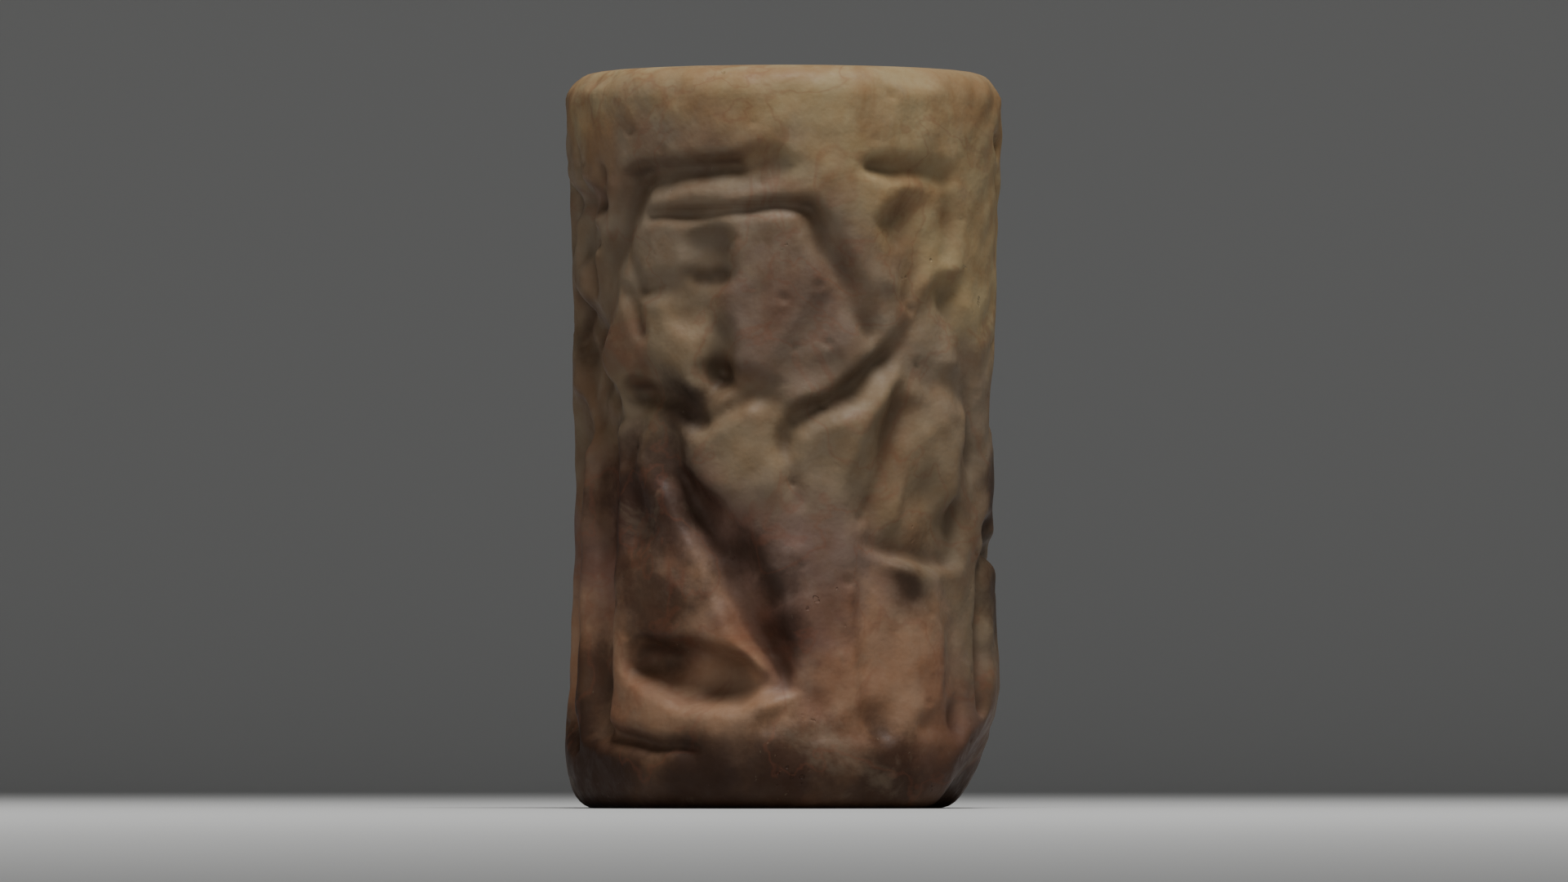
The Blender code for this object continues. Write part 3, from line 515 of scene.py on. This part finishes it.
def frieze_depth(turn, height):
    """Depth cut at each place. Turn is 0 at the front and goes clockwise seen from above."""
    cut = np.zeros_like(turn)
    for figure, at, breadth in (
        (seated_god, 248.2, 1.2),
        (attendant, 126.2, 1.2),
        (smiting_god, 70.8, 1.2),
        (mace_bearer, -40.2, 1.0),
        (kneeling_god, 24.3, 1.0),
        (staff, 278.1, 1.2),
        (star, 201.1, 1.2),
    ):
        figure(Figure(turn, height, cut, at, breadth))
    worn = 1 + UNEVEN * waves(turn, height, count=14, finest=20, seed=7)
    return cut * worn * CUT_DEPTH


def barrel_radius(turn, height):
    """Radius of the side before it is cut, with the slight swells of hand-worked stone."""
    reach = SEAL_HEIGHT / 2 - RIM_WIDTH
    share = np.minimum(np.abs(height - SEAL_HEIGHT / 2) / reach, 1)
    radius = WAIST_RADIUS + (RIM_RADIUS - WAIST_RADIUS) * share ** 2
    swell = 1 + waves(turn, height, count=9, finest=7, seed=8)
    return radius - SWELL * (1 - share ** 2) * swell


def side_outline():
    """Distance in from the rim's radius, and height, from the base's flat to the top's flat."""
    steps = np.linspace(0, math.pi / 2, ROUNDING_STEPS)
    low_inset = BASE_ROUNDING * (1 - np.sin(steps))
    low_height = BASE_ROUNDING_HEIGHT * (1 - np.cos(steps))
    high_inset = TOP_ROUNDING * (1 - np.cos(steps))
    high_height = SEAL_HEIGHT - TOP_ROUNDING * (1 - np.sin(steps))
    middle = np.linspace(BASE_ROUNDING_HEIGHT, SEAL_HEIGHT - TOP_ROUNDING, SIDE_ROWS)[1:-1]
    inset = np.concatenate([low_inset, np.zeros_like(middle), high_inset])
    height = np.concatenate([low_height, middle, high_height])
    return inset, height


def bore_outline():
    """Radius and height from the flat of the top, down the bore and out over the base."""
    mouth = MOUTH_RADIUS + MOUTH_BEVEL
    top_flat = np.linspace(RIM_RADIUS - TOP_ROUNDING, mouth, FLAT_STEPS + 1)[1:]
    base_flat = np.linspace(mouth, RIM_RADIUS - BASE_ROUNDING, FLAT_STEPS + 1)[:-1]
    heights = np.linspace(SEAL_HEIGHT - MOUTH_BEVEL, MOUTH_BEVEL, BORE_STEPS)
    share = np.abs(heights / SEAL_HEIGHT * 2 - 1)
    bore = BORE_RADIUS + (MOUTH_RADIUS - BORE_RADIUS) * share ** 2
    radius = np.concatenate([top_flat, bore, base_flat])
    height = np.concatenate([np.full(FLAT_STEPS, SEAL_HEIGHT), heights, np.zeros(FLAT_STEPS)])
    return radius, height


def chip(points, at, height, lean, size, depth):
    """Flakes a hollow off an edge. Lean turns it from the side towards the top or the base."""
    at, lean = math.radians(at), math.radians(lean)
    side = np.array([-math.sin(at), -math.cos(at), 0.0])
    up = np.array([0.0, 0.0, 1.0])
    out = side * math.cos(lean) + up * math.sin(lean)
    edge = side * (RIM_RADIUS - CHIP_INSET) + up * height
    away = points - edge - out * (size - depth)
    level = away @ out
    spread = size ** 2 - ((away ** 2).sum(axis=-1) - level ** 2)
    above = level + np.sqrt(np.maximum(spread, 0))
    wear = CHIP_WEAR * depth
    share = np.where(spread > 0, np.clip(0.5 + above / (2 * wear), 0, 1), 0)
    drop = share * (above + wear * (1 - share))
    return points - drop[..., None] * out


def chipped(points):
    """The hollows that handling and wear have left on the edges."""
    low, high = CHIP_INSET, SEAL_HEIGHT - CHIP_INSET
    at, lean = LARGE_CHIP
    points = chip(points, at, low, lean, LARGE_CHIP_SIZE, LARGE_CHIP_DEPTH)
    for at, lean in LOW_CHIPS:
        points = chip(points, at, low, lean, SMALL_CHIP_SIZE, SMALL_CHIP_DEPTH)
    for at, lean in HIGH_CHIPS:
        points = chip(points, at, high, lean, SMALL_CHIP_SIZE, SMALL_CHIP_DEPTH)
    return points


def nicked(points):
    """Small nicks along both edges, besides the chips."""
    chance = np.random.default_rng(41)
    for _ in range(NICKS):
        high = chance.random() < NICKS_AT_TOP
        height = SEAL_HEIGHT - HIGH_NICK_DROP if high else LOW_NICK_HEIGHT
        lean = chance.uniform(*NICK_LEANS) * (1 if high else -1)
        size = chance.uniform(*NICK_SIZES) * MM
        at = chance.uniform(0, 360)
        depth = chance.uniform(*NICK_DEPTHS) * MM
        points = chip(points, at, height, lean, size, depth)
    return points


def pits(turn, height):
    """Pits in the stone, shallow and about a third of a millimetre wide."""
    chance = np.random.default_rng(17)
    hollow = np.zeros_like(turn)
    for _ in range(PITS):
        at = chance.uniform(0, 2 * math.pi)
        level = chance.beta(*PIT_SPREAD) * SEAL_HEIGHT
        reach = chance.uniform(*PIT_REACHES) * MM
        away = (turn - at + math.pi) % (2 * math.pi) - math.pi
        off = np.hypot(away * ROLL_RADIUS, height - level) / reach
        hollow += np.maximum(1 - off ** 2, 0) * reach * PIT_STEEPNESS
    return hollow


def seal_surface():
    """Points of the whole skin, and what its material reads at each of them.

    Cut is how deep the place is carved, corner how far it lies in a corner, and ledge how steeply
    the stone overhangs there: below 0 where it slopes out like a sill.
    """
    turns = np.arange(COLUMNS) / COLUMNS * 2 * math.pi
    inset, side_height = side_outline()
    turn, height = np.meshgrid(turns, side_height)
    cell = (SEAL_HEIGHT - TOP_ROUNDING - BASE_ROUNDING_HEIGHT) / SIDE_ROWS
    # Three passes wear an edge down over about one row
    passes = max(1, round(3 * (WEAR / cell) ** 2))
    depth = soften(frieze_depth(turn, height), passes)
    corner = depth - soften(depth, CORNER_PASSES)
    ledge = -np.gradient(depth, cell, axis=0)
    dents = DENTS * (1 + waves(turn, height, count=40, finest=34, seed=12) / 2)
    depth = depth + pits(turn, height) + dents
    radius = barrel_radius(turn, height) - inset[:, None] - depth
    inner_radius, inner_height = bore_outline()
    inner_turn, inner_heights = np.meshgrid(turns, inner_height)
    inner = np.repeat(inner_radius[:, None], COLUMNS, axis=1)
    radius = np.concatenate([radius, inner])
    height = np.concatenate([height, inner_heights])
    turn = np.concatenate([turn, inner_turn])
    points = np.stack([-radius * np.sin(turn), -radius * np.cos(turn), height], axis=-1)
    looks = {"cut": depth / CUT_DEPTH, "corner": corner / FULL_CORNER, "ledge": ledge}
    plain = np.zeros_like(inner)
    looks = {name: np.concatenate([side, plain]) for name, side in looks.items()}
    return nicked(chipped(points)), looks


def seal_faces(rings):
    """A four-sided face between each pair of neighbours, the last ring joined to the first."""
    faces = []
    for ring in range(rings):
        lower = ring * COLUMNS
        upper = (ring + 1) % rings * COLUMNS
        for column in range(COLUMNS):
            after = (column + 1) % COLUMNS
            faces.append((lower + column, upper + column, upper + after, lower + after))
    return faces


def keep_values(mesh, name, values):
    """Stores one number for each point of a mesh, for its material to read."""
    layer = mesh.attributes.new(name, "FLOAT", "POINT")
    layer.data.foreach_set("value", values.ravel().astype(np.float32))


def carved_skin():
    """The whole seal as one smooth-shaded mesh."""
    points, looks = seal_surface()
    mesh = bpy.data.meshes.new("carved_skin")
    mesh.from_pydata(points.reshape(-1, 3).tolist(), [], seal_faces(len(points)))
    mesh.polygons.foreach_set("use_smooth", [True] * len(mesh.polygons))
    for name, values in looks.items():
        keep_values(mesh, name, values)
    skin = bpy.data.objects.new("carved_skin", mesh)
    bpy.context.scene.collection.objects.link(skin)
    return skin


class Nodes:
    """Short ways to add shader nodes to a tree."""

    def __init__(self, tree):
        self.tree = tree

    def add(self, kind, **values):
        node = self.tree.nodes.new(kind)
        for name, value in values.items():
            setattr(node, name, value)
        return node

    def link(self, start, end):
        self.tree.links.new(start, end)

    def fill(self, socket, value):
        if isinstance(value, bpy.types.NodeSocket):
            self.link(value, socket)
        elif value is not None:
            socket.default_value = value

    def math(self, operation, *values):
        node = self.add("ShaderNodeMath", operation=operation)
        for socket, value in zip(node.inputs, values):
            self.fill(socket, value)
        return node.outputs[0]

    def between(self, value, low, high, to_low=0.0, to_high=1.0):
        """Brings a value's stretch from low to high onto another, softly at both ends."""
        node = self.add("ShaderNodeMapRange", interpolation_type="SMOOTHSTEP")
        for socket, number in zip(node.inputs, (value, low, high, to_low, to_high)):
            self.fill(socket, number)
        return node.outputs["Result"]

    def mix(self, share, first, second, blend="MIX"):
        """Blends two colours, which go into its sockets 6 and 7. Its own is output 2."""
        node = self.add("ShaderNodeMix", data_type="RGBA", blend_type=blend)
        self.fill(node.inputs["Factor"], share)
        for socket, colour in zip(node.inputs[6:8], (first, second)):
            self.fill(socket, (*colour, 1) if isinstance(colour, tuple) else colour)
        return node.outputs[2]

    def tint(self, colour, tone, share, value, low, high, blend="MIX"):
        """Lays a tone over a colour, up to a share, as a value goes from low to high."""
        return self.mix(self.between(value, low, high, 0.0, share), colour, tone, blend)

    def split(self, place):
        """The x, y and z of a place."""
        node = self.add("ShaderNodeSeparateXYZ")
        self.link(place, node.inputs[0])
        return node.outputs

    def noise(self, place, scale, detail, roughness, distortion=0.0):
        node = self.add("ShaderNodeTexNoise")
        self.fill(node.inputs["Vector"], place)
        node.inputs["Scale"].default_value = scale
        node.inputs["Detail"].default_value = detail
        node.inputs["Roughness"].default_value = roughness
        node.inputs["Distortion"].default_value = distortion
        return node.outputs["Fac"]

    def uneven(self, place, scale, detail, roughness, distortion=0.0):
        """Noise that swings to both sides of 0."""
        noise = self.noise(place, scale, detail, roughness, distortion)
        return self.math("SUBTRACT", noise, 0.5)

    def value(self, name):
        return self.add("ShaderNodeAttribute", attribute_name=name).outputs["Fac"]


def patches(n, place, ragged, spots):
    """Where any of the spots lies: 1 well inside them, 0 outside, with uneven edges."""
    total = 0.0
    for x, y, z, reach in spots:
        gap = n.add("ShaderNodeVectorMath", operation="DISTANCE")
        n.link(place, gap.inputs[0])
        gap.inputs[1].default_value = (x * MM, y * MM, z * MM)
        share = n.math("DIVIDE", gap.outputs["Value"], reach * MM)
        share = n.math("MULTIPLY_ADD", ragged, SPOT_RAGGEDNESS, share)
        total = n.math("MAXIMUM", n.between(share, *SPOT_EDGE), total)
    return total


def wash(n, place, ragged, colour, tone, share, spots):
    """Lays a tone over a colour at the spots, by a share."""
    there = patches(n, place, ragged, spots)
    return n.mix(n.math("MULTIPLY", there, share), colour, tone)


def layered(n, level, layers):
    """Colour that passes from one layer of the stone to the next."""
    colour = layers[0][1]
    for (low, _), (high, above) in zip(layers, layers[1:]):
        colour = n.mix(n.between(level, low * MM, high * MM), colour, above)
    return colour


def layer_level(n, place):
    """How high a place is in the stone's layers."""
    parts = n.split(place)
    level = n.math("MULTIPLY_ADD", parts["X"], DIP_TO_RIGHT, parts["Z"])
    level = n.math("MULTIPLY_ADD", parts["Y"], DIP_TO_BACK, level)
    wide = n.uneven(place, 120, 3, 0.5)
    fine = n.uneven(place, 430, 5, 0.62)
    level = n.math("MULTIPLY_ADD", wide, WIDE_WANDER, level)
    return n.math("MULTIPLY_ADD", fine, FINE_WANDER, level)


def stone_colour(n, place, cut):
    """The old surface, darkened by handling, and the fresher stone inside the cuts, with stains,
    spots of painted shade and painted shade along the foot.
    """
    level = layer_level(n, place)
    ragged = n.uneven(place, 480, 5, 0.62)
    skin = layered(n, level, SKIN_LAYERS)
    skin = wash(n, place, ragged, skin, MAUVE, share=0.7, spots=MAUVE_SPOTS)
    inside = layered(n, level, CUT_LAYERS)
    depth = n.math("MULTIPLY_ADD", ragged, 0.9, cut)
    colour = n.mix(n.between(depth, 0.0, 1.1), skin, inside)
    colour = wash(n, place, ragged, colour, CLAY, share=0.85, spots=CLAY_SPOTS)
    colour = wash(n, place, ragged, colour, DRAB, share=0.6, spots=DRAB_SPOTS)
    # Dark spots: stains of the stone, and painted shade along the base, at the side's edges and
    # in hollows
    colour = wash(n, place, ragged, colour, UMBER, share=0.8, spots=STAINS_AND_PAINTED_SHADE)
    # Painted shade: the stone darkens towards the base
    foot = n.math("MULTIPLY_ADD", ragged, FOOT_WANDER, n.split(place)["Z"])
    return n.tint(colour, UMBER, FOOT_SHADE_SHARE, foot, FOOT_STARTS, FOOT_DARKEST)


def stone_marks(n, place, colour, corner, ledge):
    """Mottling, clouds, red veins, painted shade under ledges and on sills, grime and painted
    shade in corners, pale grains.
    """
    mottle = n.noise(place, 900, 6, 0.62)
    colour = n.tint(colour, MOTTLE, 0.6, mottle, 0.35, 0.68, "MULTIPLY")
    cloud = n.noise(place, 230, 5, 0.6, 0.6)
    colour = n.tint(colour, CLOUD, 0.6, cloud, 0.42, 0.66, "MULTIPLY")
    pale = n.noise(place, 340, 5, 0.65, 0.4)
    colour = n.tint(colour, TAN, 0.35, pale, 0.56, 0.72)
    vein = n.math("ABSOLUTE", n.uneven(place, 200, 4, 0.55, 0.6))
    colour = n.tint(colour, RUST, 0.22, vein, 0.02, 0.0)
    # Painted shade: darker on walls that overhang, and a little darker on sills that face up
    colour = n.tint(colour, LEDGE_SHADE, 0.7, ledge, 0.1, 1.1, "MULTIPLY")
    colour = n.tint(colour, SILL_SHADE, 0.2, ledge, -0.2, -1.2, "MULTIPLY")
    # Grime and painted shade darken the carving's corners
    colour = n.tint(colour, CORNER_GRIME_AND_SHADE, 0.5, corner, 0.05, 1.1)
    grain = n.noise(place, 5200, 2, 0.5)
    return n.tint(colour, TAN, 0.3, grain, 0.72, 0.79)


def bump(n, height, strength, distance, normal=None):
    """Raises the surface by a height from 0 to 1, on top of an earlier bump if there is one."""
    node = n.add("ShaderNodeBump")
    node.inputs["Strength"].default_value = strength
    node.inputs["Distance"].default_value = distance
    n.link(height, node.inputs["Height"])
    n.fill(node.inputs["Normal"], normal)
    return node.outputs["Normal"]


def pores(n, place):
    """Clusters of tiny pores: 0 at the bottom of a pore, 1 on the stone between them."""
    cells = n.add("ShaderNodeTexVoronoi", feature="F1")
    n.link(place, cells.inputs["Vector"])
    cells.inputs["Scale"].default_value = 3100
    cluster = n.noise(place, 420, 4, 0.6)
    size = n.between(n.noise(place, 1900, 2, 0.5), 0.4, 0.65, 0.1, 0.4)
    pore = n.between(n.math("SUBTRACT", size, cells.outputs["Distance"]), 0.0, 0.14)
    pore = n.math("MULTIPLY", pore, n.between(cluster, 0.62, 0.7))
    return n.math("SUBTRACT", 1.0, pore)


def stone_relief(n, place):
    """Fine unevenness: tool marks and worn hollows, then scratches, pores and grain."""
    hollows = n.noise(place, 430, 4, 0.5)
    stretched = n.add("ShaderNodeVectorMath", operation="MULTIPLY")
    n.link(place, stretched.inputs[0])
    stretched.inputs[1].default_value = (1, 1, 0.3)
    scratches = n.noise(stretched.outputs[0], 1900, 3, 0.5)
    grain = n.noise(place, 5200, 3, 0.6)
    normal = bump(n, hollows, strength=0.8, distance=0.26 * MM)
    normal = bump(n, scratches, strength=0.3, distance=0.06 * MM, normal=normal)
    normal = bump(n, pores(n, place), strength=0.7, distance=0.08 * MM, normal=normal)
    return bump(n, grain, strength=0.3, distance=0.025 * MM, normal=normal)


def stone_material():
    """Soft layered stone, dull, with stains, grime and painted shade in the carving."""
    stone = bpy.data.materials.new("veined_soft_stone")
    stone.use_nodes = True
    n = Nodes(stone.node_tree)
    surface = stone.node_tree.nodes["Principled BSDF"]
    place = n.add("ShaderNodeTexCoord").outputs["Object"]
    colour = stone_colour(n, place, n.value("cut"))
    colour = stone_marks(n, place, colour, n.value("corner"), n.value("ledge"))
    n.link(colour, surface.inputs["Base Color"])
    rough = n.noise(place, 1500, 4, 0.6)
    n.link(n.between(rough, 0.3, 0.7, *ROUGHNESSES), surface.inputs["Roughness"])
    surface.inputs["Specular IOR Level"].default_value = GLOSS
    n.link(stone_relief(n, place), surface.inputs["Normal"])
    return stone


def studio():
    """A pale sweep of floor and wall, with room behind the seal to look at its back."""
    floor = bpy.data.materials.new("pale_paper")
    floor.use_nodes = True
    paper = floor.node_tree.nodes["Principled BSDF"]
    paper.inputs["Base Color"].default_value = PAPER
    paper.inputs["Roughness"].default_value = PAPER_ROUGHNESS
    line = [(-SWEEP_REACH, 0.0)]
    for angle in np.linspace(0, math.pi / 2, BEND_STEPS):
        rise = BEND_RADIUS * (1 - math.cos(angle))
        line.append((BEND_STARTS + BEND_RADIUS * math.sin(angle), rise))
    line.append((BEND_STARTS + BEND_RADIUS, WALL_HEIGHT))
    vertices = [(x, y, z) for y, z in line for x in (-SWEEP_REACH, SWEEP_REACH)]
    faces = [(2 * i, 2 * i + 1, 2 * i + 3, 2 * i + 2) for i in range(len(line) - 1)]
    mesh = bpy.data.meshes.new("paper_sweep")
    mesh.from_pydata(vertices, [], faces)
    mesh.polygons.foreach_set("use_smooth", [True] * len(faces))
    mesh.materials.append(floor)
    sweep = bpy.data.objects.new("paper_sweep", mesh)
    bpy.context.scene.collection.objects.link(sweep)


def turn_to_seal(thing):
    """Points a lamp or the camera at the middle of the seal."""
    x, y, z = thing.location
    rise = SEAL_HEIGHT / 2 - z
    thing.rotation_euler = (math.atan2(math.hypot(x, y), -rise), 0, math.atan2(x, -y))


def lamp(name, place, size, power):
    """A round soft light."""
    light = bpy.data.lights.new(name, "AREA")
    light.shape = "DISK"
    light.size = size
    light.energy = power
    holder = bpy.data.objects.new(name, light)
    holder.location = place
    turn_to_seal(holder)
    bpy.context.scene.collection.objects.link(holder)


def air():
    """Faint light from all round."""
    world = bpy.data.worlds.new("studio_air")
    world.use_nodes = True
    background = world.node_tree.nodes["Background"]
    background.inputs["Color"].default_value = AIR
    background.inputs["Strength"].default_value = AIR_STRENGTH
    bpy.context.scene.world = world


def camera():
    """Level with the seal's foot and turned up to it, so that it is seen from a little below."""
    data = bpy.data.cameras.new("camera")
    data.lens = LENS
    data.clip_start = NEAREST
    eye = bpy.data.objects.new("camera", data)
    eye.location = EYE
    turn_to_seal(eye)
    bpy.context.scene.collection.objects.link(eye)
    bpy.context.scene.camera = eye


camera()
studio()
lamp("light_above", **LIGHT_ABOVE)
lamp("light_in_front", **LIGHT_IN_FRONT)
air()

skin = carved_skin()
skin.data.materials.append(stone_material())
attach(skin, "root")
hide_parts("seal_stone")

bpy.context.view_layer.update()
